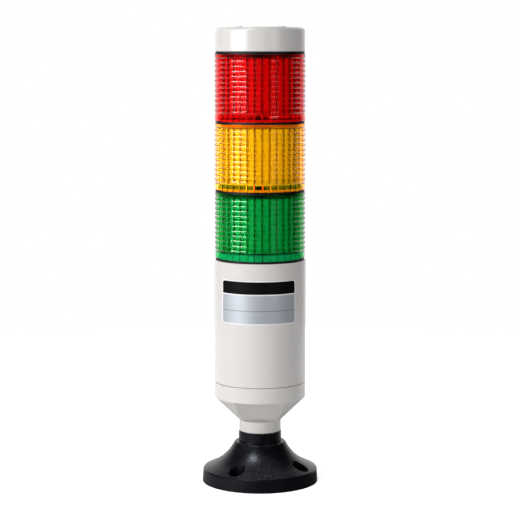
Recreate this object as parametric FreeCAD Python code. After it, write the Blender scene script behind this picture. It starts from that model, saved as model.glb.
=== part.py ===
import FreeCAD, Part
import math
import os

# Three-tier signal tower light, in millimetres, standing upright on its mounting base.
# Origin: centre of the base's underside. +Z is up, the front faces -Y.

# body and housings
body_diameter = 66.0
body_height = 88.85
housing_wall = 2.2
band_height = 11.4
band_floor = 2.0
cone_height = 17.2
cone_floor = 2.4
flat_inset = 6.0
neck_diameter = 30.3
neck_height = 8.2
seam_chamfer = 0.3
edge_bevel = 0.5
body_top_bevel = 0.6
tube_overlap = 6.0
tube_clearance = 0.1
tube_taper = 3.0

# hollow threaded spigot that passes through the base
spigot_diameter = 24.8
spigot_foot = 2.5
cable_bore_diameter = 15.0

# collar and mounting base
collar_diameter = 30.9
collar_show = 7.6
collar_seat_depth = 4.0
base_diameter = 84.0
base_height = 29.6
base_wall = 3.0
base_rim_height = 9.5
base_rim_draft = 0.5
base_rim_bevel = 0.7
bell_waist_diameter = 50.1
bell_waist_height = 17.5
bell_curve = 34.0
bell_land = 2.7
bell_top_round = 2.2
sleeve_wall = 4.4
sleeve_foot = 10.0
rib_count = 4
rib_thickness = 2.0
rib_foot = 5.0
rib_clearance = 2.0
rib_root = 1.0

# mounting holes
hole_count = 4
hole_circle = 67.0
hole_diameter = 5.5
hole_first_angle = -29.6
counterbore_diameter = 11.6
counterbore_floor = 4.0
hole_boss_wall = 2.2

# lock nut and washer on the spigot
washer_thickness = 1.5
washer_diameter = 34.0
nut_thickness = 5.0
nut_flats = 32.0
nut_corner_spare = 0.5
nut_chamfer = 1.5
thread_clearance = 0.05

# tiers: lens, seal and twist lock
tier_count = 3
lens_setback = 0.4
lens_height = 47.25
lens_wall = 2.0
ring_count = 11
ring_pitch = 3.53
ring_depth = 0.75
lip_height = 4.85
lip_inset = 0.25
flange_height = 2.98
flange_inset = 0.1
bore_height = 45.5
rib_lines = 36
rib_line_width = 1.3
rib_line_height = 0.6
rib_line_angle = 3.0
skirt_depth = 6.05
skirt_clearance = 0.15
seal_height = 1.75
seal_setback = 1.1
tier_spigot_setback = 3.1
tier_spigot_wall = 1.6
tier_spigot_engagement = 4.2
lug_count = 3
lug_first_angle = 60.0
lug_span = 14.0
lug_reach = 0.6
lug_height = 1.1
notch_width = 0.8
notch_height = 1.6
notch_depth = 0.4
lug_root = 0.3
lip_chamfer = 0.3
seal_clearance = 0.1

# cap
cap_setback = 1.0
cap_height = 17.1
cap_wall = 2.0
cap_top_thickness = 2.2
cap_bevel_width = 2.1
cap_bevel_height = 1.5
cap_foot_chamfer = 0.6
cap_disc_diameter = 36.8
cap_disc_height = 0.35
cap_pip_diameter = 5.4
cap_pip_height = 0.9
cap_pip_circle = 30.8
cap_pip_root = 0.5

# lamp decks
deck_thickness = 1.8
reflector_thickness = 0.8
reflector_lip = 1.2
reflector_clearance = 0.6
socket_diameter = 19.0
socket_flange_diameter = 32.0
socket_flange_height = 2.0
socket_height = 12.0
socket_tail_diameter = 10.0
socket_tail_length = 5.0
lamp_diameter = 17.6
lamp_length = 23.0
lamp_base_diameter = 14.8
lamp_base_depth = 8.0
lamp_clearance = 0.1
lamp_tip_bevel = 2.0
socket_screw_circle = 26.0
socket_screw_diameter = 2.5
socket_screw_head = 4.4

# wires
wire_diameter = 1.8
wire_circle = 27.0
wire_spacing_angle = 30.0
wire_hole_clearance = 0.35

# circuit board and what it carries
board_width = 48.0
board_height = 65.0
board_thickness = 1.6
board_setback = 6.0
board_foot = 78.0
rail_width = 6.0
rail_depth = 5.0
rail_foot = 2.0
slot_clearance = 0.2
terminal_count = 5
terminal_pitch = 8.0
terminal_depth = 11.0
terminal_height = 12.0
terminal_lift = 6.0
terminal_screw_diameter = 4.4
terminal_shoulder = 0.6
terminal_end_wall = 1.0
terminal_floor = 1.0
terminal_screw_sink = 1.0
capacitor_diameter = 10.0
capacitor_length = 14.0
capacitor_spacing = 14.0
capacitor_lift = 40.0
relay_width = 19.0
relay_height = 15.0
relay_depth = 15.5
header_height = 8.0
header_depth = 9.0
header_end_wall = 1.0

# screws that hold the body on the lower housing
housing_screw_count = 3
housing_screw_setback = 10.0
housing_screw_first_angle = 30.0
housing_screw_diameter = 3.0
housing_screw_head = 6.0
housing_post_diameter = 7.6
housing_lug_thickness = 3.0
screw_head_height = 1.9
screw_clearance = 0.2
screw_slot = 0.8
housing_pilot_depth = 9.0

# label on the body
label_width = 59.5
label_height = 31.2
label_foot = 45.7
label_thickness = 0.15
label_corner = 2.0
label_angle = -2.4

# levels
collar_top = base_height + collar_show
cone_foot = collar_top + neck_height
band_foot = cone_foot + cone_height
seam = band_foot + band_height
body_top = seam + body_height
tier_pitch = seal_height + lens_height
cap_foot = body_top + tier_count * tier_pitch + seal_height

# radii
body_radius = body_diameter / 2
neck_radius = neck_diameter / 2
spigot_radius = spigot_diameter / 2
collar_radius = collar_diameter / 2
collar_bore_radius = spigot_radius + screw_clearance
tube_bore = body_radius - housing_wall
cone_slope = (body_radius - neck_radius) / cone_height
cone_wall = housing_wall * math.sqrt(1 + cone_slope ** 2)
tier_spigot_radius = body_radius - tier_spigot_setback
tier_spigot_bore = tier_spigot_radius - tier_spigot_wall
skirt_radius = tier_spigot_radius + lug_reach + skirt_clearance
deck_radius = tier_spigot_radius + lug_reach
lens_radius = body_radius - lens_setback
seal_radius = body_radius - seal_setback
cap_radius = body_radius - cap_setback
housing_screw_radius = body_radius - housing_screw_setback
lens_bore = lens_radius - ring_depth - lens_wall
wire_angles = [180 - wire_spacing_angle, 180.0, 180 + wire_spacing_angle]


def at_angle(radius, angle, z=0.0):
    # the angle starts at the front and grows towards +X
    a = math.radians(angle)
    return FreeCAD.Vector(radius * math.sin(a), -radius * math.cos(a), z)


def disc(radius, z, height, x=0.0, y=0.0):
    return Part.makeCylinder(radius, height, FreeCAD.Vector(x, y, z))


def ring(outer, inner, z, height):
    return disc(outer, z, height).cut(disc(inner, z - 1, height + 2))


def block(x0, x1, y0, y1, z0, z1):
    return Part.makeBox(x1 - x0, y1 - y0, z1 - z0, FreeCAD.Vector(x0, y0, z0))


def fuse_all(shapes):
    first = shapes[0]
    if len(shapes) == 1:
        return first
    return first.multiFuse(shapes[1:]).removeSplitter()


def cut_all(solid, cuts):
    for cut in cuts:
        solid = solid.cut(cut)
    return solid


def turned(corners):
    # A turned form: the closed outline is given as (radius, height, corner rounding).
    # A negative rounding is a flat bevel of that size.
    return rounded_face(corners).revolve(FreeCAD.Vector(0, 0, 0), FreeCAD.Vector(0, 0, 1), 360)


def rounded_face(corners):
    points = [FreeCAD.Vector(c[0], 0, c[1]) for c in corners]
    count = len(points)
    reach = []
    for i in range(count):
        to_last = (points[i - 1] - points[i]).normalize()
        to_next = (points[(i + 1) % count] - points[i]).normalize()
        half = to_last.getAngle(to_next) / 2
        size = corners[i][2]
        reach.append(size / math.tan(half) if size > 0 else -size)
    for i in range(count):
        # neighbouring roundings share the length of the line between them
        j = (i + 1) % count
        room = 0.95 * (points[j] - points[i]).Length
        total = reach[i] + reach[j]
        if total > room:
            reach[i] = reach[i] * room / total
            reach[j] = reach[j] * room / total
    edges = []
    last_end = None
    first_start = None
    for i in range(count):
        to_last = (points[i - 1] - points[i]).normalize()
        to_next = (points[(i + 1) % count] - points[i]).normalize()
        start = points[i] + to_last * reach[i]
        end = points[i] + to_next * reach[i]
        if last_end is not None:
            edges.append(Part.makeLine(last_end, start))
        else:
            first_start = start
        if corners[i][2] < 0:
            edges.append(Part.makeLine(start, end))
        elif reach[i] > 0:
            half = to_last.getAngle(to_next) / 2
            radius = reach[i] * math.tan(half)
            towards = (to_last + to_next).normalize()
            middle = points[i] + towards * (radius / math.sin(half) - radius)
            edges.append(Part.Arc(start, middle, end).toShape())
        last_end = end
    edges.append(Part.makeLine(last_end, first_start))
    return Part.Face(Part.Wire(edges))


def inset_corners(points, distance):
    # Moves an open outline, drawn upwards, towards the axis by the same distance everywhere.
    lines = []
    for (r0, z0), (r1, z1) in zip(points, points[1:]):
        length = math.hypot(r1 - r0, z1 - z0)
        across = (-(z1 - z0) / length * distance, (r1 - r0) / length * distance)
        lines.append(((r0 + across[0], z0 + across[1]), (r1 - r0, z1 - z0)))
    moved = [lines[0][0]]
    for (a, u), (b, v) in zip(lines, lines[1:]):
        cross = u[0] * v[1] - u[1] * v[0]
        t = ((b[0] - a[0]) * v[1] - (b[1] - a[1]) * v[0]) / cross
        moved.append((a[0] + u[0] * t, a[1] + u[1] * t))
    last, direction = lines[-1]
    moved.append((last[0] + direction[0], last[1] + direction[1]))
    return moved


# mounting base

def bell_corners():
    top_radius = collar_radius + bell_land
    return [
        (base_diameter / 2, 0.0),
        (base_diameter / 2 - base_rim_draft, base_rim_height),
        (bell_waist_diameter / 2, bell_waist_height),
        (top_radius, base_height),
    ]


def bell():
    foot, rim, waist, top = bell_corners()
    return turned([
        (0, foot[1], 0), (foot[0], foot[1], 0), (rim[0], rim[1], -base_rim_bevel),
        (waist[0], waist[1], bell_curve), (top[0], top[1], bell_top_round), (0, top[1], 0)])


def bell_hollow(wall, foot):
    # the space left inside a wall of this thickness, its curve left out
    low, rim, waist, top = inset_corners(bell_corners(), wall)
    return turned([
        (0, foot, 0), (low[0], foot, 0), (rim[0], rim[1], 0),
        (waist[0], waist[1], 0), (top[0], top[1], 0), (0, top[1], 0)])


def hole_places():
    step = 360.0 / hole_count
    return [at_angle(hole_circle / 2, hole_first_angle + i * step) for i in range(hole_count)]


def base_rib(angle):
    sleeve = collar_bore_radius + sleeve_wall
    inner = max(nut_flats / math.sqrt(3), washer_diameter / 2) + rib_clearance
    outer = base_diameter / 2 - base_wall / 2
    corners = [
        (sleeve - rib_root, sleeve_foot + rib_root), (inner, sleeve_foot + rib_root), (inner, rib_foot),
        (outer, rib_foot), (outer, base_height), (sleeve - rib_root, base_height)]
    points = [FreeCAD.Vector(r, -rib_thickness / 2, z) for r, z in corners]
    plate = Part.Face(Part.makePolygon(points + points[:1])).extrude(FreeCAD.Vector(0, rib_thickness, 0))
    plate.rotate(FreeCAD.Vector(0, 0, 0), FreeCAD.Vector(0, 0, 1), angle)
    return plate


def mounting_base():
    shell = bell().cut(bell_hollow(base_wall, -1))
    core = bell_hollow(base_wall / 2, 0)
    inner = [disc(collar_bore_radius + sleeve_wall, sleeve_foot, base_height - sleeve_foot)]
    for place in hole_places():
        inner.append(disc(counterbore_diameter / 2 + hole_boss_wall, 0, base_height, place.x, place.y))
    for i in range(rib_count):
        inner.append(base_rib(hole_first_angle - 90 + (i + 0.5) * 360.0 / rib_count))
    solid = fuse_all([shell] + [piece.common(core) for piece in inner])
    cuts = [
        disc(collar_bore_radius, -1, base_height + 2),
        disc(collar_radius + screw_clearance, base_height - collar_seat_depth, collar_seat_depth + 1),
    ]
    for place in hole_places():
        cuts.append(disc(hole_diameter / 2, -1, base_height, place.x, place.y))
        cuts.append(disc(counterbore_diameter / 2, counterbore_floor, base_height, place.x, place.y))
    return cut_all(solid, cuts)


def neck_collar():
    foot = base_height - collar_seat_depth
    return turned([
        (collar_bore_radius, foot, 0), (collar_radius, foot, 0),
        (collar_radius, collar_top, -edge_bevel), (collar_bore_radius, collar_top, 0)])


def lock_washer():
    foot = sleeve_foot - washer_thickness
    return ring(washer_diameter / 2, spigot_radius + screw_clearance, foot, washer_thickness)


def lock_nut():
    foot = sleeve_foot - washer_thickness - nut_thickness
    corner = nut_flats / math.sqrt(3)
    points = [at_angle(corner, i * 60, foot) for i in range(7)]
    prism = Part.Face(Part.makePolygon(points)).extrude(FreeCAD.Vector(0, 0, nut_thickness))
    outside = corner + nut_corner_spare
    chamfer = turned([
        (0, foot, 0), (nut_flats / 2, foot, 0), (outside, foot + nut_chamfer, 0),
        (outside, foot + nut_thickness, 0), (0, foot + nut_thickness, 0)])
    return prism.common(chamfer).cut(disc(spigot_radius + thread_clearance, foot - 1, nut_thickness + 2))


# lower housing: band, cone with two slanted flats, neck and spigot

def flat_cutter(inset, z0, z1, side):
    # the flat runs parallel to the cone's side, this far inside it
    def reach(z):
        return neck_radius + cone_slope * (z - cone_foot) - inset
    far = body_diameter
    points = [
        FreeCAD.Vector(-far, side * reach(z0), z0), FreeCAD.Vector(-far, side * reach(z1), z1),
        FreeCAD.Vector(-far, side * far, z1), FreeCAD.Vector(-far, side * far, z0)]
    return Part.Face(Part.makePolygon(points + points[:1])).extrude(FreeCAD.Vector(2 * far, 0, 0))


def housing_screw_places(z):
    step = 360.0 / housing_screw_count
    return [at_angle(housing_screw_radius, housing_screw_first_angle + i * step, z)
            for i in range(housing_screw_count)]


def lower_housing():
    outer = turned([
        (0, cone_foot, 0), (neck_radius, cone_foot, 0), (body_radius, band_foot, -seam_chamfer),
        (body_radius, seam, -seam_chamfer), (0, seam, 0)])
    for side in (-1, 1):
        outer = outer.cut(flat_cutter(flat_inset, cone_foot, band_foot, side))
    neck = turned([
        (0, collar_top, 0), (neck_radius, collar_top, -edge_bevel),
        (neck_radius, cone_foot, 0), (0, cone_foot, 0)])
    spigot = disc(spigot_radius, spigot_foot, collar_top - spigot_foot)
    hollow_foot = cone_foot + cone_floor
    hollow = turned([
        (0, hollow_foot, 0),
        (neck_radius + cone_slope * cone_floor - cone_wall, hollow_foot, 0),
        (body_radius - cone_wall, band_foot, 0), (body_radius - cone_wall, band_foot + band_floor, 0),
        (0, band_foot + band_floor, 0)])
    for side in (-1, 1):
        hollow = hollow.cut(flat_cutter(flat_inset + cone_wall, hollow_foot, band_foot, side))
        flat_edge = body_radius - flat_inset - cone_wall
        far = body_diameter
        low, high = sorted((side * flat_edge, side * far))
        hollow = hollow.cut(block(-far, far, low, high, band_foot, band_foot + band_floor))
    socket = disc(tube_bore, band_foot + band_floor, band_height)
    post_top = seam - tube_overlap
    pilot_radius = housing_screw_diameter / 2 + thread_clearance
    pilot_foot = post_top - housing_pilot_depth
    posts = []
    pilots = []
    for place in housing_screw_places(0):
        post = disc(housing_post_diameter / 2, hollow_foot, post_top - hollow_foot, place.x, place.y)
        posts.append(post.common(outer))
        pilots.append(disc(pilot_radius, pilot_foot, housing_pilot_depth + 1, place.x, place.y))
    shell = outer.cut(hollow).cut(socket)
    solid = fuse_all([shell, neck, spigot] + posts)
    solid = solid.cut(disc(cable_bore_diameter / 2, 0, hollow_foot + 0.5))
    return cut_all(solid, pilots)


# body housing

def lug(radius, reach, middle, z):
    # a sector that stands out from the given radius and is rooted a little inside it
    foot = FreeCAD.Vector(0, 0, z)
    sector = Part.makeCylinder(radius + reach, lug_height, foot, FreeCAD.Vector(0, 0, 1), lug_span)
    sector = sector.cut(disc(radius - lug_root, z - 1, lug_height + 2))
    sector.rotate(FreeCAD.Vector(0, 0, 0), FreeCAD.Vector(0, 0, 1), middle - 90 - lug_span / 2)
    return sector


def lug_middles():
    return [lug_first_angle + i * 360.0 / lug_count for i in range(lug_count)]


def spigot_lugs(top):
    # the lugs of the twist lock, near the top of a tier's spigot
    return [lug(tier_spigot_radius, lug_reach, middle, top - 2 * lug_height) for middle in lug_middles()]


def skirt_catches(z):
    # inward tabs that sit under the lugs once the tier is turned home
    inner = tier_spigot_radius + skirt_clearance
    foot = z + tier_spigot_engagement - 3 * lug_height - skirt_clearance
    return [lug(inner + lug_root, skirt_radius - inner, middle, foot) for middle in lug_middles()]


def housing_lug(place):
    # round eye on a short arm that reaches in from the tube's lower end
    foot = seam - tube_overlap
    outer = tube_bore - tube_clearance
    half = housing_post_diameter / 2
    arm = block(0, outer + 1, -half, half, foot, foot + housing_lug_thickness)
    arm.rotate(FreeCAD.Vector(0, 0, 0), FreeCAD.Vector(0, 0, 1), math.degrees(math.atan2(place.y, place.x)))
    hub_circle = place.Length
    arm = arm.common(ring(outer, hub_circle, foot, housing_lug_thickness))
    return arm.fuse(disc(half, foot, housing_lug_thickness, place.x, place.y))


def board_rail(side):
    near = board_width / 2 - rail_depth / 2
    low, high = sorted((side * near, side * body_radius))
    foot = board_foot - rail_foot
    top = board_foot + board_height
    rail = block(low, high, board_setback - rail_width / 2, board_setback + rail_width / 2, foot, top)
    return rail.common(disc(tube_bore + housing_wall / 2, foot, top - foot))


def board_slot():
    half = board_width / 2 + slot_clearance
    thick = board_thickness / 2 + slot_clearance / 2
    top = board_foot + board_height
    return block(-half, half, board_setback - thick, board_setback + thick, board_foot, top + 1)


def body_housing():
    foot = seam - tube_overlap
    outer = tube_bore - tube_clearance
    inner = outer - housing_wall
    spigot_top = body_top + seal_height + tier_spigot_engagement
    tube = turned([
        (inner, foot, 0), (outer, foot, 0), (outer, seam, 0),
        (body_radius, seam, -seam_chamfer), (body_radius, body_top, -body_top_bevel),
        (tier_spigot_radius, body_top, 0), (tier_spigot_radius, spigot_top, 0),
        (tier_spigot_bore, spigot_top, 0), (tier_spigot_bore, body_top - housing_wall, 0),
        (tube_bore, body_top - housing_wall - tube_taper, 0), (tube_bore, seam + housing_wall, 0),
        (inner, seam + housing_wall, 0)])
    pieces = [tube] + spigot_lugs(spigot_top)
    pieces += [housing_lug(place) for place in housing_screw_places(0)]
    pieces += [board_rail(side) for side in (-1, 1)]
    solid = fuse_all(pieces).cut(board_slot())
    for place in housing_screw_places(0):
        bore = housing_screw_diameter / 2 + screw_clearance
        solid = solid.cut(disc(bore, foot - 1, housing_lug_thickness + 2, place.x, place.y))
    return solid


def pan_screw(diameter, head, place, seat, length):
    # pan head on its seat, with the shank below
    shank = disc(diameter / 2, seat - length, length + 0.1, place.x, place.y)
    cap = disc(head / 2, seat, screw_head_height, place.x, place.y)
    slot = block(place.x - head, place.x + head, place.y - screw_slot / 2, place.y + screw_slot / 2,
                 seat + screw_head_height / 2, seat + screw_head_height + 1)
    return cap.cut(slot).fuse(shank)


def housing_screws():
    seat = seam - tube_overlap + housing_lug_thickness
    length = housing_lug_thickness + housing_pilot_depth - 1
    places = housing_screw_places(0)
    return [pan_screw(housing_screw_diameter, housing_screw_head, place, seat, length) for place in places]


def label_corner_waste(side, up):
    # what a rounded corner takes away: a square outside a round bar that points at the axis
    z = seam + label_foot + label_height / 2 + up * (label_height / 2 - label_corner)
    half_span = math.degrees((label_width / 2 - label_corner) / body_radius)
    low_x, high_x = sorted((0, side * 2 * label_corner))
    low_z, high_z = sorted((z, z + up * 2 * label_corner))
    near = -body_radius - label_corner
    far = -body_radius + label_corner
    square = block(low_x, high_x, near, far, low_z, high_z)
    bar = Part.makeCylinder(label_corner, far - near, FreeCAD.Vector(0, near, z), FreeCAD.Vector(0, 1, 0))
    waste = square.cut(bar)
    waste.rotate(FreeCAD.Vector(0, 0, 0), FreeCAD.Vector(0, 0, 1), label_angle + side * half_span)
    return waste


def rating_label():
    foot = seam + label_foot
    span = math.degrees(label_width / body_radius)
    sheet = Part.makeCylinder(body_radius + label_thickness, label_height, FreeCAD.Vector(0, 0, foot),
                              FreeCAD.Vector(0, 0, 1), span)
    sheet = sheet.cut(disc(body_radius, foot - 1, label_height + 2))
    sheet.rotate(FreeCAD.Vector(0, 0, 0), FreeCAD.Vector(0, 0, 1), label_angle - 90 - span / 2)
    for side in (-1, 1):
        for up in (-1, 1):
            sheet = sheet.cut(label_corner_waste(side, up))
    return sheet


# tiers

def seal_ring(index):
    return ring(seal_radius, tier_spigot_radius + seal_clearance, body_top + index * tier_pitch, seal_height)


def ring_profile(foot):
    # V-shaped prism rings, from the valley above the lip to the valley under the flange
    corners = [(lens_radius - ring_depth, foot, 0)]
    for i in range(ring_count):
        corners.append((lens_radius, foot + (i + 0.5) * ring_pitch, 0))
        corners.append((lens_radius - ring_depth, foot + (i + 1) * ring_pitch, 0))
    return corners


def skirt_bore(z):
    # the skirt is a many-sided socket, one side to each inner rib
    corner = skirt_radius / math.cos(math.pi / rib_lines)
    step = 360.0 / rib_lines
    points = [at_angle(corner, rib_line_angle + (i + 0.5) * step, z - 1) for i in range(rib_lines)]
    return Part.Face(Part.makePolygon(points + points[:1])).extrude(FreeCAD.Vector(0, 0, skirt_depth + 1))


def ribbed_bore(z0, z1):
    # round bore with three-cornered upright ribs that stand in from the wall
    half = math.degrees(rib_line_width / 2 / lens_bore)
    step = 360.0 / rib_lines
    edges = []
    for i in range(rib_lines):
        middle = rib_line_angle + i * step
        foot = at_angle(lens_bore, middle - half, z0)
        tip = at_angle(lens_bore - rib_line_height, middle, z0)
        far_foot = at_angle(lens_bore, middle + half, z0)
        bow = at_angle(lens_bore, middle + step / 2, z0)
        next_foot = at_angle(lens_bore, middle + step - half, z0)
        edges.append(Part.makeLine(foot, tip))
        edges.append(Part.makeLine(tip, far_foot))
        edges.append(Part.Arc(far_foot, bow, next_foot).toShape())
    return Part.Face(Part.Wire(edges)).extrude(FreeCAD.Vector(0, 0, z1 - z0))


def lens(z):
    lip = lens_radius - lip_inset
    flange = lens_radius - flange_inset
    top = z + lens_height
    ring_foot = top - flange_height - ring_count * ring_pitch
    spigot_top = top + seal_height + tier_spigot_engagement
    corners = [(tier_spigot_bore, z, 0), (lip, z, -lip_chamfer), (lip, z + lip_height, 0)]
    corners += ring_profile(ring_foot)
    corners += [
        (flange, top - flange_height + ring_depth, 0), (flange, top, 0),
        (tier_spigot_radius, top, 0), (tier_spigot_radius, spigot_top, 0), (tier_spigot_bore, spigot_top, 0)]
    solid = turned(corners).fuse(spigot_lugs(spigot_top))
    solid = solid.cut(skirt_bore(z)).cut(ribbed_bore(z + skirt_depth - 1, z + bore_height))
    solid = solid.fuse(skirt_catches(z))
    notch = block(-notch_width / 2, notch_width / 2, -lip - 1, -lip + notch_depth, z - 1, z + notch_height)
    notch.rotate(FreeCAD.Vector(0, 0, 0), FreeCAD.Vector(0, 0, 1), label_angle)
    return solid.cut(notch)


def wire_holes(indices, z, height):
    # clearance holes for the wires that go on to the tiers above
    return [disc(wire_diameter / 2 + wire_hole_clearance, z, height, place.x, place.y)
            for place in (at_angle(wire_circle / 2, wire_angles[i]) for i in indices)]


def socket_screw_places():
    return [at_angle(socket_screw_circle / 2, angle) for angle in (-90, 90)]


def screw_holes(clearance, z, height):
    radius = socket_screw_diameter / 2 + clearance
    return [disc(radius, z, height, place.x, place.y) for place in socket_screw_places()]


def deck_foot(index):
    return body_top + index * tier_pitch + seal_height + tier_spigot_engagement


def flange_foot(index):
    return deck_foot(index) + deck_thickness + reflector_thickness


def deck(index):
    foot = deck_foot(index)
    plate = disc(deck_radius, foot, deck_thickness)
    cuts = wire_holes(range(index, tier_count), foot - 1, deck_thickness + 2)
    cuts += screw_holes(thread_clearance, foot - 1, deck_thickness + 2)
    cuts.append(disc(socket_tail_diameter / 2 + wire_hole_clearance, foot - 1, deck_thickness + 2))
    return cut_all(plate, cuts)


def reflector(index):
    # shallow white dish on the deck
    foot = deck_foot(index) + deck_thickness
    outer = lens_bore - rib_line_height - reflector_clearance
    lip = foot + reflector_thickness + reflector_lip
    dish = turned([
        (0, foot, 0), (outer, foot, 0), (outer, lip, 0), (outer - reflector_thickness, lip, 0),
        (outer - reflector_thickness - reflector_lip, foot + reflector_thickness, 0),
        (0, foot + reflector_thickness, 0)])
    cuts = wire_holes(range(index, tier_count), foot - 1, reflector_thickness + 2)
    cuts += screw_holes(screw_clearance, foot - 1, reflector_thickness + 2)
    cuts.append(disc(socket_tail_diameter / 2 + wire_hole_clearance, foot - 1, reflector_thickness + 2))
    return cut_all(dish, cuts)


def socket(index):
    foot = flange_foot(index)
    shoulder = foot + socket_flange_height
    rim = shoulder + socket_height
    base_radius = lamp_base_diameter / 2 + lamp_clearance
    holder = turned([
        (0, foot - socket_tail_length, 0), (socket_tail_diameter / 2, foot - socket_tail_length, 0),
        (socket_tail_diameter / 2, foot, 0), (socket_flange_diameter / 2, foot, 0),
        (socket_flange_diameter / 2, shoulder, -edge_bevel), (socket_diameter / 2, shoulder, 0),
        (socket_diameter / 2, rim, -edge_bevel), (base_radius, rim, 0), (base_radius, rim - lamp_base_depth, 0),
        (0, rim - lamp_base_depth, 0)])
    cuts = wire_holes(range(index + 1, tier_count), foot - 1, socket_flange_height + 2)
    cuts += screw_holes(screw_clearance, foot - 1, socket_flange_height + 2)
    return cut_all(holder, cuts)


def lamp(index):
    # sealed tubular lamp, its base down in the socket
    rim = flange_foot(index) + socket_flange_height + socket_height
    return turned([
        (0, rim - lamp_base_depth, 0), (lamp_base_diameter / 2, rim - lamp_base_depth, 0),
        (lamp_base_diameter / 2, rim, 0), (lamp_diameter / 2, rim, 0),
        (lamp_diameter / 2, rim + lamp_length, -lamp_tip_bevel), (0, rim + lamp_length, 0)])


def socket_screws():
    screws = []
    length = socket_flange_height + reflector_thickness + deck_thickness
    for index in range(tier_count):
        seat = flange_foot(index) + socket_flange_height
        for place in socket_screw_places():
            screws.append(pan_screw(socket_screw_diameter, socket_screw_head, place, seat, length))
    return screws


def top_disc():
    return disc(deck_radius, deck_foot(tier_count), deck_thickness)


def top_cap():
    radius = cap_radius
    top = cap_foot + cap_height
    ceiling = top - cap_top_thickness
    bore = radius - cap_wall
    shell = turned([
        (0, ceiling, 0), (bore, ceiling, 0), (bore, cap_foot + skirt_depth, 0),
        (skirt_radius, cap_foot + skirt_depth, 0), (skirt_radius, cap_foot, 0),
        (radius, cap_foot, -cap_foot_chamfer),
        (radius, top - cap_bevel_height, -edge_bevel), (radius - cap_bevel_width, top, 0),
        (cap_disc_diameter / 2, top, 0), (cap_disc_diameter / 2, top + cap_disc_height, 0),
        (0, top + cap_disc_height, 0)])
    pip_foot = top - cap_pip_root
    pips = [disc(cap_pip_diameter / 2, pip_foot, top + cap_pip_height - pip_foot, side * cap_pip_circle / 2, 0)
            for side in (-1, 1)]
    return shell.fuse(pips + skirt_catches(cap_foot)).removeSplitter()


# circuit board and wires

def board_front():
    return board_setback - board_thickness / 2


def board_back():
    return board_setback + board_thickness / 2


def control_board():
    half = board_width / 2
    return block(-half, half, board_front(), board_back(), board_foot, board_foot + board_height)


def terminal_places():
    first = -(terminal_count - 1) * terminal_pitch / 2
    return [first + i * terminal_pitch for i in range(terminal_count)]


def terminal_block():
    half = terminal_count * terminal_pitch / 2 + terminal_end_wall
    foot = board_foot + terminal_lift
    top = foot + terminal_height
    solid = block(-half, half, board_front() - terminal_depth, board_front(), foot, top)
    y = board_front() - terminal_depth / 2
    cuts = []
    for x in terminal_places():
        well = terminal_screw_diameter / 2 + screw_clearance
        entry = terminal_screw_diameter / 2 - terminal_shoulder
        cuts.append(disc(well, top - terminal_height / 2, terminal_height, x, y))
        cuts.append(disc(entry, foot - 1, terminal_height / 2 + 1 - terminal_floor, x, y))
    return cut_all(solid, cuts)


def terminal_screws():
    top = board_foot + terminal_lift + terminal_height
    seat = top - terminal_height / 2
    y = board_front() - terminal_depth / 2
    screws = []
    for x in terminal_places():
        head = disc(terminal_screw_diameter / 2, seat, top - terminal_screw_sink - seat, x, y)
        slot = block(x - terminal_screw_diameter, x + terminal_screw_diameter,
                     y - screw_slot / 2, y + screw_slot / 2, top - terminal_screw_sink - screw_slot, top)
        screws.append(head.cut(slot))
    return screws


def board_capacitors():
    z = board_foot + capacitor_lift
    cans = []
    for side in (-1, 1):
        base = FreeCAD.Vector(side * capacitor_spacing / 2, board_front(), z)
        cans.append(Part.makeCylinder(capacitor_diameter / 2, capacitor_length, base, FreeCAD.Vector(0, -1, 0)))
    return cans


def flasher_relay():
    foot = board_foot + terminal_lift
    half = relay_width / 2
    return block(-half, half, board_back(), board_back() + relay_depth, foot, foot + relay_height)


def header_top():
    return board_foot + board_height


def wire_header():
    half = wire_circle / 2 * math.sin(math.radians(wire_spacing_angle)) + wire_diameter + header_end_wall
    top = header_top()
    return block(-half, half, board_back(), board_back() + header_depth, top - header_height, top)


def lamp_wires():
    wires = []
    for index in range(tier_count):
        place = at_angle(wire_circle / 2, wire_angles[index])
        wires.append(disc(wire_diameter / 2, header_top(), flange_foot(index) - header_top(), place.x, place.y))
    return wires


parts = {
    "mounting_base": mounting_base(),
    "neck_collar": neck_collar(),
    "lock_washer": lock_washer(),
    "lock_nut": lock_nut(),
    "lower_housing": lower_housing(),
    "body_housing": body_housing(),
    "housing_screws": Part.makeCompound(housing_screws()),
    "rating_label": rating_label(),
    "control_board": control_board(),
    "terminal_block": terminal_block(),
    "terminal_screws": Part.makeCompound(terminal_screws()),
    "board_capacitors": Part.makeCompound(board_capacitors()),
    "flasher_relay": flasher_relay(),
    "wire_header": wire_header(),
    "lamp_wires": Part.makeCompound(lamp_wires()),
    "socket_screws": Part.makeCompound(socket_screws()),
    "top_disc": top_disc(),
    "top_cap": top_cap(),
}
tier_colours = ["green", "amber", "red"]
seal_names = ["seal_body_green", "seal_green_amber", "seal_amber_red", "seal_red_cap"]
for index, name in enumerate(seal_names):
    parts[name] = seal_ring(index)
for index, colour in enumerate(tier_colours):
    parts["lens_" + colour] = lens(body_top + index * tier_pitch + seal_height)
    parts["deck_" + colour] = deck(index)
    parts["reflector_" + colour] = reflector(index)
    parts["socket_" + colour] = socket(index)
    parts["lamp_" + colour] = lamp(index)

os.makedirs("parts", exist_ok=True)
for name, shape in parts.items():
    shape.exportStep("parts/" + name + ".step")
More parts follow.
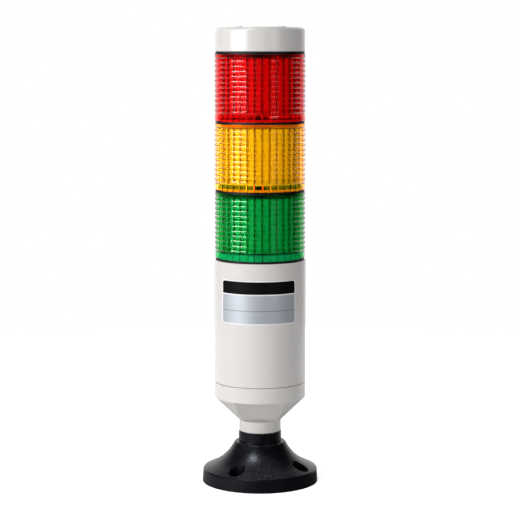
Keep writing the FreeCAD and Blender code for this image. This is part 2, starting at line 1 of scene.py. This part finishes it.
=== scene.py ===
import bpy
import math
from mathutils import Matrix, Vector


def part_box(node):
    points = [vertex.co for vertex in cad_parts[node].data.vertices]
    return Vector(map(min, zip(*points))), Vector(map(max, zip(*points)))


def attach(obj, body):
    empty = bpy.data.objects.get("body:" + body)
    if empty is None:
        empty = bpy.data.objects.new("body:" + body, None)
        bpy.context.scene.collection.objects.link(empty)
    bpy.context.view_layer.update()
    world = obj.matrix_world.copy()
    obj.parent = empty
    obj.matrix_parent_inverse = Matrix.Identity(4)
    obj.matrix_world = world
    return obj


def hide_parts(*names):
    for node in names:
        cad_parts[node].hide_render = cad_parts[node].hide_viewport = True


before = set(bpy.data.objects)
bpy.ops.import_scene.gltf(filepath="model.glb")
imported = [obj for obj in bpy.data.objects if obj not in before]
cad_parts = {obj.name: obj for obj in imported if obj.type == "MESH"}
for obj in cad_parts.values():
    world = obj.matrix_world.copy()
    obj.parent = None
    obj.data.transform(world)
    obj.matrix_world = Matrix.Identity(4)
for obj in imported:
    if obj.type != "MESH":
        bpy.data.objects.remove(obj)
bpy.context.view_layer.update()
print("frame loaded")

tiers = ("green", "amber", "red")
turning = {"seed": 0.001, "weld": 0.000005}


def deselectAll():
    if bpy.context.object and bpy.context.object.mode != "OBJECT":
        bpy.ops.object.mode_set(mode="OBJECT")
    bpy.ops.object.select_all(action="DESELECT")


def profilePoint(r, z, angle):
    # angle in degrees from the front, towards +X
    a = math.radians(angle)
    return (r * math.sin(a), -r * math.cos(a), z)


def drawOutline(name, outline, angle):
    # one vertex, pulled along the outline by extrusions; stays in edit mode
    deselectAll()
    bpy.ops.mesh.primitive_plane_add(size=turning["seed"], location=(0, 0, 0))
    piece = bpy.context.object
    piece.name = name
    piece.data.name = name
    bpy.ops.object.mode_set(mode="EDIT")
    bpy.ops.mesh.select_all(action="SELECT")
    bpy.ops.mesh.merge(type="CENTER")
    here = profilePoint(outline[0][0], outline[0][1], angle)
    bpy.ops.transform.translate(value=here)
    for r, z in outline[1:]:
        there = profilePoint(r, z, angle)
        step = tuple(b - a for a, b in zip(here, there))
        bpy.ops.mesh.extrude_region_move(TRANSFORM_OT_translate={"value": step})
        here = there
    return piece


def spinOutline(name, outline, steps, angle=0.0):
    # a turned piece: the outline goes once round the tower's axis
    piece = drawOutline(name, outline, angle)
    bpy.ops.mesh.select_all(action="SELECT")
    bpy.ops.mesh.spin(steps=steps, angle=2 * math.pi, center=(0, 0, 0), axis=(0, 0, 1))
    bpy.ops.mesh.select_all(action="SELECT")
    bpy.ops.mesh.remove_doubles(threshold=turning["weld"])
    bpy.ops.mesh.normals_make_consistent(inside=False)
    bpy.ops.object.mode_set(mode="OBJECT")
    return piece


def smoothByAngle(piece, degrees):
    deselectAll()
    piece.select_set(True)
    bpy.context.view_layer.objects.active = piece
    bpy.ops.object.shade_smooth_by_angle(angle=math.radians(degrees))


def closed(outline):
    return outline + [outline[0]]


def newFinish(name):
    material = bpy.data.materials.new(name)
    material.use_nodes = True
    tree = material.node_tree
    return material, tree, tree.nodes["Principled BSDF"]


def feed(tree, socket, value):
    # a socket takes a number as it is, or a link
    if isinstance(value, (int, float)):
        socket.default_value = value
    else:
        tree.links.new(value, socket)


def objectPoint(tree, scale=(1, 1, 1)):
    place = tree.nodes.new("ShaderNodeTexCoord")
    mapping = tree.nodes.new("ShaderNodeMapping")
    mapping.inputs["Scale"].default_value = scale
    tree.links.new(place.outputs["Object"], mapping.inputs["Vector"])
    return mapping.outputs["Vector"]


def axes(tree, vector):
    parts = tree.nodes.new("ShaderNodeSeparateXYZ")
    tree.links.new(vector, parts.inputs["Vector"])
    return parts.outputs["X"], parts.outputs["Y"], parts.outputs["Z"]


def noise(tree, vector, scale, detail=2.0):
    texture = tree.nodes.new("ShaderNodeTexNoise")
    texture.inputs["Scale"].default_value = scale
    texture.inputs["Detail"].default_value = detail
    tree.links.new(vector, texture.inputs["Vector"])
    return texture.outputs["Fac"]


def spread(tree, value, ends, over=(0.3, 0.7)):
    # the value's range, over, stretched on to ends and held there beyond
    span = tree.nodes.new("ShaderNodeMapRange")
    span.inputs["From Min"].default_value, span.inputs["From Max"].default_value = over
    span.inputs["To Min"].default_value, span.inputs["To Max"].default_value = ends
    tree.links.new(value, span.inputs["Value"])
    return span.outputs["Result"]


def arith(tree, operation, *values):
    node = tree.nodes.new("ShaderNodeMath")
    node.operation = operation
    for socket, value in zip(node.inputs, values):
        feed(tree, socket, value)
    return node.outputs["Value"]


def larger(tree, first, second):
    return arith(tree, "MAXIMUM", first, second)


def pickNumber(tree, factor, first, second):
    mix = tree.nodes.new("ShaderNodeMix")
    tree.links.new(factor, mix.inputs["Factor"])
    feed(tree, mix.inputs["A"], first)
    feed(tree, mix.inputs["B"], second)
    return mix.outputs["Result"]


def mixColour(tree, factor, first, second):
    # from the first colour, written or linked, to the second
    mix = tree.nodes.new("ShaderNodeMix")
    mix.data_type = "RGBA"
    if isinstance(first, tuple):
        mix.inputs["A"].default_value = (*first, 1)
    else:
        tree.links.new(first, mix.inputs["A"])
    mix.inputs["B"].default_value = (*second, 1)
    tree.links.new(factor, mix.inputs["Factor"])
    return mix.outputs["Result"]


def bump(tree, shader, height, distance):
    node = tree.nodes.new("ShaderNodeBump")
    node.inputs["Strength"].default_value = 1.0
    node.inputs["Distance"].default_value = distance
    tree.links.new(height, node.inputs["Height"])
    tree.links.new(node.outputs["Normal"], shader.inputs["Normal"])


def mouldedPlastic(name, look):
    # a moulded surface: faint flow marks in the colour, fine grain in the relief and the gloss
    material, tree, shader = newFinish(name)
    point = objectPoint(tree)
    flow = noise(tree, point, look["flowScale"], 3.0)
    grain = noise(tree, point, look["grainScale"])
    dark = tuple(c * (1 - look["flowDepth"]) for c in look["colour"])
    colour = mixColour(tree, flow, look["colour"], dark)
    if "seam" in look:
        # shade gathers in the fine joint between the two housings
        height = axes(tree, point)[2]
        joint = arith(tree, "COMPARE", height, look["seam"], look["seamHalf"])
        colour = mixColour(tree, joint, colour, look["seamColour"])
    tree.links.new(colour, shader.inputs["Base Color"])
    ends = (look["roughness"] - look["glossShift"], look["roughness"] + look["glossShift"])
    tree.links.new(spread(tree, grain, ends), shader.inputs["Roughness"])
    bump(tree, shader, grain, look["grainDepth"])
    shader.inputs["IOR"].default_value = look.get("ior", 1.5)
    shader.inputs["Specular Tint"].default_value = (*look.get("tint", (1, 1, 1)), 1)
    return material


plasticLooks = {
    "housingWhite": {"colour": (0.695, 0.674, 0.657), "roughness": 0.22, "glossShift": 0.03, "ior": 1.6,
                     "flowScale": 25.0, "flowDepth": 0.02, "grainScale": 2600.0, "grainDepth": 0.000004,
                     "seam": 0.074, "seamHalf": 0.0002, "seamColour": (0.16, 0.15, 0.14)},
    "baseBlack": {"colour": (0.0030, 0.0034, 0.0052), "roughness": 0.28, "glossShift": 0.08, "ior": 1.45,
                  "flowScale": 60.0, "flowDepth": 0.2, "grainScale": 1100.0, "grainDepth": 0.00007,
                  "tint": (0.82, 0.86, 1.0)},
    "sealRubber": {"colour": (0.003, 0.003, 0.003), "roughness": 0.5, "glossShift": 0.05, "ior": 1.4,
                   "flowScale": 60.0, "flowDepth": 0.2, "grainScale": 2500.0, "grainDepth": 0.00001},
    "deckBlack": {"colour": (0.008, 0.008, 0.008), "roughness": 0.5, "glossShift": 0.05,
                  "flowScale": 60.0, "flowDepth": 0.2, "grainScale": 2500.0, "grainDepth": 0.00001},
    "reflectorWhite": {"colour": (0.82, 0.82, 0.80), "roughness": 0.3, "glossShift": 0.03,
                       "flowScale": 60.0, "flowDepth": 0.02, "grainScale": 2500.0, "grainDepth": 0.000003},
    "boardGreen": {"colour": (0.02, 0.12, 0.05), "roughness": 0.35, "glossShift": 0.04,
                   "flowScale": 200.0, "flowDepth": 0.3, "grainScale": 3000.0, "grainDepth": 0.00001},
    "terminalGreen": {"colour": (0.03, 0.22, 0.09), "roughness": 0.4, "glossShift": 0.04,
                      "flowScale": 60.0, "flowDepth": 0.1, "grainScale": 2500.0, "grainDepth": 0.00001},
    "relayBlue": {"colour": (0.03, 0.06, 0.28), "roughness": 0.3, "glossShift": 0.03,
                  "flowScale": 60.0, "flowDepth": 0.1, "grainScale": 2500.0, "grainDepth": 0.00001},
    "canSleeve": {"colour": (0.02, 0.025, 0.05), "roughness": 0.3, "glossShift": 0.03,
                  "flowScale": 60.0, "flowDepth": 0.1, "grainScale": 2500.0, "grainDepth": 0.00001},
    "wireRed": {"colour": (0.40, 0.02, 0.02), "roughness": 0.4, "glossShift": 0.03,
                "flowScale": 60.0, "flowDepth": 0.1, "grainScale": 2500.0, "grainDepth": 0.00001},
}
finishes = {name: mouldedPlastic(name, look) for name, look in plasticLooks.items()}


def cloudedFinish(name, look):
    # two shades and two degrees of gloss that drift into each other
    material, tree, shader = newFinish(name)
    cloud = noise(tree, objectPoint(tree, look.get("stretch", (1, 1, 1))), look["scale"])
    tree.links.new(mixColour(tree, cloud, look["colour"], look["shade"]), shader.inputs["Base Color"])
    tree.links.new(spread(tree, cloud, look["roughness"]), shader.inputs["Roughness"])
    shader.inputs["Metallic"].default_value = look.get("metallic", 0.0)
    if "depth" in look:
        bump(tree, shader, cloud, look["depth"])
    return material


cloudedLooks = {
    "lampFrosted": {"colour": (0.86, 0.86, 0.83), "shade": (0.78, 0.78, 0.75), "roughness": (0.45, 0.6),
                    "scale": 900.0, "depth": 0.00001},
    "platedSteel": {"colour": (0.62, 0.62, 0.60), "shade": (0.50, 0.50, 0.49), "roughness": (0.25, 0.4),
                    "scale": 700.0, "depth": 0.000005, "stretch": (1, 1, 6), "metallic": 1.0},
    "opalWhite": {"colour": (0.985, 0.985, 0.985), "shade": (0.97, 0.97, 0.97), "roughness": (0.55, 0.65),
                  "scale": 60.0},
    "seatOrange": {"colour": (0.78, 0.36, 0.08), "shade": (0.74, 0.33, 0.07), "roughness": (0.55, 0.65),
                   "scale": 60.0},
}
for name, look in cloudedLooks.items():
    finishes[name] = cloudedFinish(name, look)

lensLook = {
    "ior": 1.49, "roughness": 0.02, "boreRoughness": 0.05, "boreRadius": 0.0301, "boreEdge": 0.0001,
    "haze": 120.0, "hazeDepth": 0.00001, "clear": (1, 1, 1), "hazed": (0.97, 0.97, 0.97),
    "ribTip": 0.0286, "ribTipEdge": 0.0001, "ribRoot": 0.02983, "ribRootEdge": 0.00005,
    # painted shade on the ribs: the dark colour the lens material gives their faces
    "ribShadeTint": (0.08, 0.08, 0.08),
    # painted shade: where the dark on the ribs is broken into dashes, one to each ring
    "shadeDashFoot": 0.00544, "shadeDashPitch": 0.00353, "shadeDashGap": 0.4, "shadeDashFade": 0.75,
}
lensTints = {
    "red": {"colour": (0.963, 0.0, 0.0), "density": 2000.0},
    "amber": {"colour": (1.0, 0.9325, 0.0), "density": 2000.0},
    "green": {"colour": (0.0, 0.872, 0.645), "density": 1600.0},
}


def tintedLens(name, look, tint):
    # acrylic tinted all through; the bore is a little dull, the outside is polished
    material, tree, shader = newFinish(name)
    haze = noise(tree, objectPoint(tree), look["haze"], 3.0)
    clear = mixColour(tree, haze, look["clear"], look["hazed"])
    flat = tree.nodes.new("ShaderNodeVectorMath")
    flat.operation = "LENGTH"
    tree.links.new(objectPoint(tree, (1, 1, 0)), flat.inputs[0])
    radius = flat.outputs["Value"]
    # painted shade: the ribs' faces are coloured dark, standing in for the dark lines the lens shows at its
    # ribs; the real lens is one colour
    past = spread(tree, radius, (0, 1), (look["ribTip"] - look["ribTipEdge"], look["ribTip"]))
    short = spread(tree, radius, (1, 0), (look["ribRoot"] - look["ribRootEdge"], look["ribRoot"]))
    paintedRibShade = arith(tree, "MULTIPLY", past, short)
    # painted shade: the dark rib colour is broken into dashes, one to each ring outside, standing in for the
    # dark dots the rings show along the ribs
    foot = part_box(name)[0][2] + look["shadeDashFoot"]
    rise = arith(tree, "SUBTRACT", axes(tree, objectPoint(tree))[2], foot)
    shadeDashPhase = arith(tree, "FRACT", arith(tree, "DIVIDE", rise, look["shadeDashPitch"]))
    inShadeDashGap = arith(tree, "LESS_THAN", shadeDashPhase, look["shadeDashGap"])
    ribShadeKept = arith(tree, "SUBTRACT", 1.0, arith(tree, "MULTIPLY", inShadeDashGap, look["shadeDashFade"]))
    paintedRibShade = arith(tree, "MULTIPLY", paintedRibShade, ribShadeKept)
    tree.links.new(mixColour(tree, paintedRibShade, clear, look["ribShadeTint"]), shader.inputs["Base Color"])
    frost = spread(tree, radius, (look["boreRoughness"], look["roughness"]),
                   (look["boreRadius"], look["boreRadius"] + look["boreEdge"]))
    tree.links.new(frost, shader.inputs["Roughness"])
    bump(tree, shader, haze, look["hazeDepth"])
    shader.inputs["Transmission Weight"].default_value = 1.0
    shader.inputs["IOR"].default_value = look["ior"]
    depth = tree.nodes.new("ShaderNodeVolumeAbsorption")
    depth.inputs["Color"].default_value = (*tint["colour"], 1)
    depth.inputs["Density"].default_value = tint["density"]
    tree.links.new(depth.outputs["Volume"], tree.nodes["Material Output"].inputs["Volume"])
    return material


for word, tint in lensTints.items():
    finishes["lens_" + word] = tintedLens("lens_" + word, lensLook, tint)

labelLook = {
    "radius": 0.03315, "turn": 2.4, "middle": 0.1353,    # turn in degrees to the left, middle height
    "halfWidth": 0.02975, "halfHeight": 0.0156, "corner": 0.002, "border": 0.0006,
    "bannerFoot": 0.1413, "bannerLine": 0.0007, "bannerCorner": 0.0022, "bannerGloss": 0.22,
    "divider": 0.1294, "dividerWidth": 0.00025,
    "silver": (0.66, 0.70, 0.76), "silverDark": (0.60, 0.64, 0.70), "metallic": 0.5,
    "banner": (0.004, 0.004, 0.004), "white": (0.93, 0.93, 0.94), "line": (0.30, 0.32, 0.35),
    "roughness": (0.38, 0.46), "brushScale": 900.0, "brushStretch": (1, 1, 30), "brushDepth": 0.000002,
}


def cornerReach(tree, across, acrossLimit, up, upLimit):
    # distance past a rounded corner's centre
    overX = larger(tree, arith(tree, "SUBTRACT", across, acrossLimit), 0)
    overZ = larger(tree, arith(tree, "SUBTRACT", up, upLimit), 0)
    squares = arith(tree, "ADD", arith(tree, "POWER", overX, 2), arith(tree, "POWER", overZ, 2))
    return arith(tree, "SQRT", squares)


def labelFilm(name, look):
    # silvered film: a black banner across the top, a fine dividing line, a pale border; no lettering
    material, tree, shader = newFinish(name)
    brush = noise(tree, objectPoint(tree, look["brushStretch"]), look["brushScale"])
    x, y, height = axes(tree, objectPoint(tree))
    angle = arith(tree, "ARCTAN2", x, arith(tree, "MULTIPLY", y, -1))
    angle = arith(tree, "ADD", angle, math.radians(look["turn"]))
    across = arith(tree, "ABSOLUTE", arith(tree, "MULTIPLY", angle, look["radius"]))
    up = arith(tree, "ABSOLUTE", arith(tree, "SUBTRACT", height, look["middle"]))
    reach = cornerReach(tree, across, look["halfWidth"] - look["corner"],
                        up, look["halfHeight"] - look["corner"])
    border = arith(tree, "GREATER_THAN", reach, look["corner"] - look["border"])
    banner = arith(tree, "GREATER_THAN", height, look["bannerFoot"])
    # the banner's own corners are rounder than the film's
    inset = look["border"] + look["bannerCorner"]
    reach = cornerReach(tree, across, look["halfWidth"] - inset,
                        height, look["middle"] + look["halfHeight"] - inset)
    cornerOut = arith(tree, "GREATER_THAN", reach, look["bannerCorner"])
    border = larger(tree, border, arith(tree, "MULTIPLY", cornerOut, banner))
    halfLine = look["bannerLine"] / 2
    bannerLine = arith(tree, "COMPARE", height, look["bannerFoot"] - halfLine, halfLine)
    divider = arith(tree, "COMPARE", height, look["divider"], look["dividerWidth"])
    colour = mixColour(tree, brush, look["silver"], look["silverDark"])
    for mask, paint in ((divider, "line"), (banner, "banner"), (bannerLine, "white"), (border, "white")):
        colour = mixColour(tree, mask, colour, look[paint])
    tree.links.new(colour, shader.inputs["Base Color"])
    printed = larger(tree, larger(tree, border, banner), bannerLine)
    tree.links.new(spread(tree, printed, (look["metallic"], 0.0), (0, 1)), shader.inputs["Metallic"])
    rough = arith(tree, "SUBTRACT", spread(tree, brush, look["roughness"]),
                  arith(tree, "MULTIPLY", banner, look["bannerGloss"]))
    tree.links.new(rough, shader.inputs["Roughness"])
    bump(tree, shader, brush, look["brushDepth"])
    return material


finishes["labelFilm"] = labelFilm("labelFilm", labelLook)

nodeFinishes = {
    "housingWhite": ["body_housing", "lower_housing", "top_cap"],
    "baseBlack": ["mounting_base", "neck_collar"],
    "sealRubber": ["seal_body_green", "seal_green_amber", "seal_amber_red", "seal_red_cap"],
    "deckBlack": ["deck_green", "deck_amber", "deck_red", "top_disc"],
    "reflectorWhite": ["reflector_green", "reflector_amber", "reflector_red",
                       "socket_green", "socket_amber", "socket_red"],
    "lampFrosted": ["lamp_green", "lamp_amber", "lamp_red"],
    "platedSteel": ["lock_nut", "lock_washer", "housing_screws", "socket_screws", "terminal_screws"],
    "labelFilm": ["rating_label"],
    "boardGreen": ["control_board"],
    "terminalGreen": ["terminal_block", "wire_header"],
    "relayBlue": ["flasher_relay"],
    "canSleeve": ["board_capacitors"],
    "wireRed": ["lamp_wires"],
}
for finish, nodeNames in nodeFinishes.items():
    for nodeName in nodeNames:
        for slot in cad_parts[nodeName].material_slots:
            slot.material = finishes[finish]
print("finishes ready")

lensForm = {
    "turns": 288,
    "smooth": 12,
    "peak": 0.0326,
    "ringCount": 11,
    "ringPitch": 0.00353,
    "ringDepth": 0.00075,
    "ringShape": ((0, 0), (0.41, 1.0), (0.59, 0.893)),   # share of the pitch, of the depth
    "lipHeight": 0.00485,
    "lipInset": 0.00025,
    "flangeHeight": 0.00298,
    "flangeInset": 0.0001,
    "flangeDraft": 0.00008,
    "bodyHeight": 0.04725,
    "wall": 0.002,
    "boreHeight": 0.0455,
    "skirtDepth": 0.00605,
    "skirtRadius": 0.03065,
    "spigotRadius": 0.0299,
    "spigotBore": 0.0283,
    "ribCount": 36,
    "ribReach": 0.0012,
    "grooveDepth": 0.0006,
    "ribAngle": 3.0,
    "edge": 0.0003,
    "pickReach": 0.0001,    # how near the wall, and in degrees how near the line, a vertex is picked
    "pickTurn": 0.2,
}


def ringOutline(form, foot):
    # each ring: a steep lower face, a narrow land that leans back a little, a longer upper face
    peak = form["peak"]
    points = []
    for ring in range(form["ringCount"]):
        for share, rise in form["ringShape"]:
            points.append((peak - form["ringDepth"] * (1 - rise), foot + (ring + share) * form["ringPitch"]))
    points.append((peak - form["ringDepth"], foot + form["ringCount"] * form["ringPitch"]))
    return points


def lensOutline(form, height):
    lip = form["peak"] - form["lipInset"]
    flange = form["peak"] - form["flangeInset"]
    edge = form["edge"]
    top = form["bodyHeight"]
    ringFoot = top - form["flangeHeight"] - form["ringCount"] * form["ringPitch"]
    flangeFoot = top - form["flangeHeight"] + form["ringDepth"]
    bore = form["peak"] - form["ringDepth"] - form["wall"]
    outline = [(form["skirtRadius"], 0), (lip - edge, 0), (lip, edge),
               (lip, form["lipHeight"] - edge), (lip - edge, form["lipHeight"])]
    outline += ringOutline(form, ringFoot)
    outline += [
        (flange - form["flangeDraft"], flangeFoot), (flange, top - edge), (flange - edge, top),
        (form["spigotRadius"], top), (form["spigotRadius"], height), (form["spigotBore"], height),
        (form["spigotBore"], form["boreHeight"]), (bore, form["boreHeight"]),
        (bore, form["skirtDepth"]), (form["skirtRadius"], form["skirtDepth"])]
    return closed(outline)


def moveLines(piece, form, radius, target):
    # the upright lines of one wall, one to each rib, go in or out to the target radius
    pitch = 360 / form["ribCount"]
    for part in (*piece.data.polygons, *piece.data.edges):
        part.select = False
    for vertex in piece.data.vertices:
        x, y, z = vertex.co
        around = math.degrees(math.atan2(x, -y)) - form["ribAngle"]
        offset = abs((around + pitch / 2) % pitch - pitch / 2)
        onWall = abs(math.hypot(x, y) - radius) < form["pickReach"]
        vertex.select = onWall and offset < form["pickTurn"]
    bpy.context.view_layer.objects.active = piece
    bpy.context.tool_settings.mesh_select_mode = (True, False, False)
    bpy.ops.object.mode_set(mode="EDIT")
    share = target / radius
    bpy.ops.transform.resize(value=(share, share, 1), center_override=(0, 0, 0))
    bpy.ops.object.mode_set(mode="OBJECT")


def makeLens(form, word):
    low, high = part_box("lens_" + word)
    outline = [(r, z + low[2]) for r, z in lensOutline(form, high[2] - low[2])]
    lens = spinOutline("tierLens_" + word, outline, form["turns"], form["ribAngle"])
    # ribs inside the bore, and grooves inside the skirt
    bore = form["peak"] - form["ringDepth"] - form["wall"]
    moveLines(lens, form, bore, bore - form["ribReach"])
    moveLines(lens, form, form["skirtRadius"], form["skirtRadius"] + form["grooveDepth"])
    smoothByAngle(lens, form["smooth"])
    lens.data.materials.append(finishes["lens_" + word])
    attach(lens, "root")
    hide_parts("lens_" + word)


for word in tiers:
    makeLens(lensForm, word)
print("lenses turned")

tubeForm = {"steps": 144, "smooth": 30}
sleeveForm = {"clearance": 0.00012, "wall": 0.00035, "foot": 0.0061, "top": 0.0440}
deckSkirtForm = {"outer": 0.0282, "wall": 0.0008, "foot": 0.0442, "top": 0.0531}
backForm = {"inner": 0.0276, "outer": 0.0282, "foot": 0.0442, "top": 0.0474}
seatForm = {"inner": 0.02993, "outer": 0.0306}
seats = {
    "lowSeat_": {"foot": 0.0001, "top": 0.0016, "finish": "seatOrange"},
    "highSeat_": {"foot": 0.0043, "top": 0.0059, "finish": "opalWhite"},
}


def makeTube(name, radii, heights, finish):
    # plain ring round the tower's axis
    inner, outer = radii
    low, high = heights
    outline = closed([(inner, low), (outer, low), (outer, high), (inner, high)])
    tube = spinOutline(name, outline, tubeForm["steps"])
    smoothByAngle(tube, tubeForm["smooth"])
    tube.data.materials.append(finishes[finish])
    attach(tube, "root")


def heightsOf(form, foot):
    return foot + form["foot"], foot + form["top"]


def makeSleeve(form, lens, word, foot):
    # white diffuser, close inside the ribs
    outer = lens["peak"] - lens["ringDepth"] - lens["wall"] - lens["ribReach"] - form["clearance"]
    makeTube("diffuser_" + word, (outer - form["wall"], outer), heightsOf(form, foot), "opalWhite")


def makeDeckSkirt(form, word, foot):
    # black skirt that hangs from the deck above, down inside the tier's spigot
    makeTube("deckSkirt_" + word, (form["outer"] - form["wall"], form["outer"]), heightsOf(form, foot),
             "deckBlack")


def makeBand(name, form, heights, finish):
    # ring that shows as a bright line through the lens
    makeTube(name, (form["inner"], form["outer"]), heights, finish)


for word in tiers:
    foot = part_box("lens_" + word)[0][2]
    makeSleeve(sleeveForm, lensForm, word, foot)
    if word == "amber":
        makeBand("flangeBack_" + word, backForm, heightsOf(backForm, foot), "seatOrange")
    else:
        makeDeckSkirt(deckSkirtForm, word, foot)
    if word != "green":
        for place, seat in seats.items():
            makeBand(place + word, seatForm, heightsOf(seat, foot), seat["finish"])
print("diffusers placed")

stageForm = {
    "radius": 0.7, "vertices": 96, "colour": (0.9, 0.9, 0.9), "shade": 0.995, "cloudScale": 3.0,
    "roughness": 0.9, "lift": 0.6,
    # painted reflection in front of the tower: brighter on the left than on the right
    "front": {"left": 0.32, "right": 0.05, "span": (-0.06, 0.02)},
    "behindSpan": (0.0, 0.3),
}


def seenDirectly(tree, rays):
    # 1 for rays from the eye, from gloss and through glass
    either = larger(tree, rays["Is Camera Ray"], rays["Is Glossy Ray"])
    return larger(tree, either, rays["Is Transmission Ray"])


def makeFloor(form):
    deselectAll()
    bpy.ops.mesh.primitive_circle_add(radius=form["radius"], vertices=form["vertices"], fill_type="NGON",
                                      location=(0, 0, 0))
    floor = bpy.context.object
    floor.name = "floor"
    material, tree, shader = newFinish("floorPale")
    point = objectPoint(tree)
    x, y = axes(tree, point)[:2]
    cloud = noise(tree, point, form["cloudScale"])
    shade = tuple(c * form["shade"] for c in form["colour"])
    tree.links.new(mixColour(tree, cloud, form["colour"], shade), shader.inputs["Base Color"])
    shader.inputs["Roughness"].default_value = form["roughness"]
    shader.inputs["Specular IOR Level"].default_value = 0.0
    # the rest of the way to white, for what the eye, gloss and glass see of it
    rays = tree.nodes.new("ShaderNodeLightPath").outputs
    lift = spread(tree, seenDirectly(tree, rays), (0, form["lift"]), (0, 1))
    tree.links.new(lift, shader.inputs["Emission Strength"])
    # painted reflection: shiny faces mirror the floor white behind the tower and dim in front, brighter in
    # front on the left, where the key lamp falls
    paintedFloorReflection = tree.nodes.new("ShaderNodeEmission")
    front = spread(tree, x, (form["front"]["left"], form["front"]["right"]), form["front"]["span"])
    behind = spread(tree, y, (0, 1), form["behindSpan"])
    tree.links.new(larger(tree, front, behind), paintedFloorReflection.inputs["Strength"])
    byRay = tree.nodes.new("ShaderNodeMixShader")
    tree.links.new(rays["Is Glossy Ray"], byRay.inputs["Fac"])
    tree.links.new(shader.outputs["BSDF"], byRay.inputs[1])
    tree.links.new(paintedFloorReflection.outputs["Emission"], byRay.inputs[2])
    tree.links.new(byRay.outputs["Shader"], tree.nodes["Material Output"].inputs["Surface"])
    floor.data.materials.append(material)


lightForm = {
    "key": {"place": (-1.345, -0.92, 0.48), "aim": (0, 0, 0.42), "size": (1.25, 0.40), "power": 18.0},
    "top": {"place": (-0.55, -0.61, 1.75), "aim": (0, 0, 0.05), "size": (0.4, 0.4), "power": 10.0},
    "side": {"place": (1.0, -1.28, 0.45), "aim": (0, 0, 0.4), "size": (0.6, 0.5), "power": 1.8},
}


def makeLight(name, form):
    light = bpy.data.lights.new(name, "AREA")
    light.shape = "RECTANGLE"
    light.size, light.size_y = form["size"]
    light.energy = form["power"]
    lamp = bpy.data.objects.new(name, light)
    bpy.context.scene.collection.objects.link(lamp)
    lamp.location = form["place"]
    aim = [b - a for a, b in zip(form["place"], form["aim"])]
    flat = math.hypot(aim[0], aim[1])
    lamp.rotation_euler = (math.atan2(flat, -aim[2]), 0, math.atan2(-aim[0], aim[1]))


worldForm = {
    "backdrop": 1.0,                                # behind the tower, and wherever the eye looks
    "fill": {"left": 0.37, "right": 0.26},          # what lights matt faces
    "through": {"left": 3.3, "right": 1.6},         # for rays through the lenses, above the backdrop's 1
    "gloss": {"left": 0.035, "right": 0.004},       # the darker room that shiny faces mirror
    "ceiling": {"left": 0.8, "right": 0.05},        # paler above, for shiny faces
    "eyeSide": 0.06,                                # dark round the camera, seen through the lenses
    "acrossSpan": (-0.8, 0.8),
    "eyeSpan": (-0.985, -0.93),
    "behindSpan": (0.2, 0.6),
    "farBehindSpan": (0.55, 0.9),
    "ceilingSpan": (0.84, 0.9),
}


def makeWorld(form):
    # a studio room: white behind the tower, pale at the sides, dark round the camera
    world = bpy.data.worlds.new("studio")
    bpy.context.scene.world = world
    world.use_nodes = True
    tree = world.node_tree
    background = tree.nodes["Background"]
    background.inputs["Color"].default_value = (1, 1, 1, 1)
    way = tree.nodes.new("ShaderNodeTexCoord")
    x, y, z = axes(tree, way.outputs["Generated"])
    fill, through, gloss, ceiling = [
        spread(tree, x, (form[name]["left"], form[name]["right"]), form["acrossSpan"])
        for name in ("fill", "through", "gloss", "ceiling")]
    behind = spread(tree, y, (0, form["backdrop"]), form["behindSpan"])
    farBehind = spread(tree, y, (0, form["backdrop"]), form["farBehindSpan"])
    matt = larger(tree, fill, behind)
    through = pickNumber(tree, spread(tree, y, (1, 0), form["eyeSpan"]), through, form["eyeSide"])
    through = larger(tree, through, behind)
    gloss = pickNumber(tree, spread(tree, z, (0, 1), form["ceilingSpan"]), gloss, ceiling)
    gloss = larger(tree, gloss, farBehind)
    rays = tree.nodes.new("ShaderNodeLightPath").outputs
    room = pickNumber(tree, rays["Is Glossy Ray"], matt, gloss)
    room = pickNumber(tree, rays["Is Transmission Ray"], room, through)
    room = pickNumber(tree, rays["Is Camera Ray"], room, form["backdrop"])
    tree.links.new(room, background.inputs["Strength"])


makeFloor(stageForm)
for name, form in lightForm.items():
    makeLight(name, form)
makeWorld(worldForm)
print("stage and light set")

cameraForm = {"place": (0, -1.240, 0.3146), "pitch": 7.01, "lens": 119.7, "sensor": 36.0}

eye = bpy.data.cameras.new("camera")
eye.lens = cameraForm["lens"]
eye.sensor_width = cameraForm["sensor"]
camera = bpy.data.objects.new("camera", eye)
bpy.context.scene.collection.objects.link(camera)
camera.location = cameraForm["place"]
camera.rotation_euler = (math.radians(90 - cameraForm["pitch"]), 0, 0)
bpy.context.scene.camera = camera
bpy.context.scene.view_settings.view_transform = "Standard"
print("camera placed")
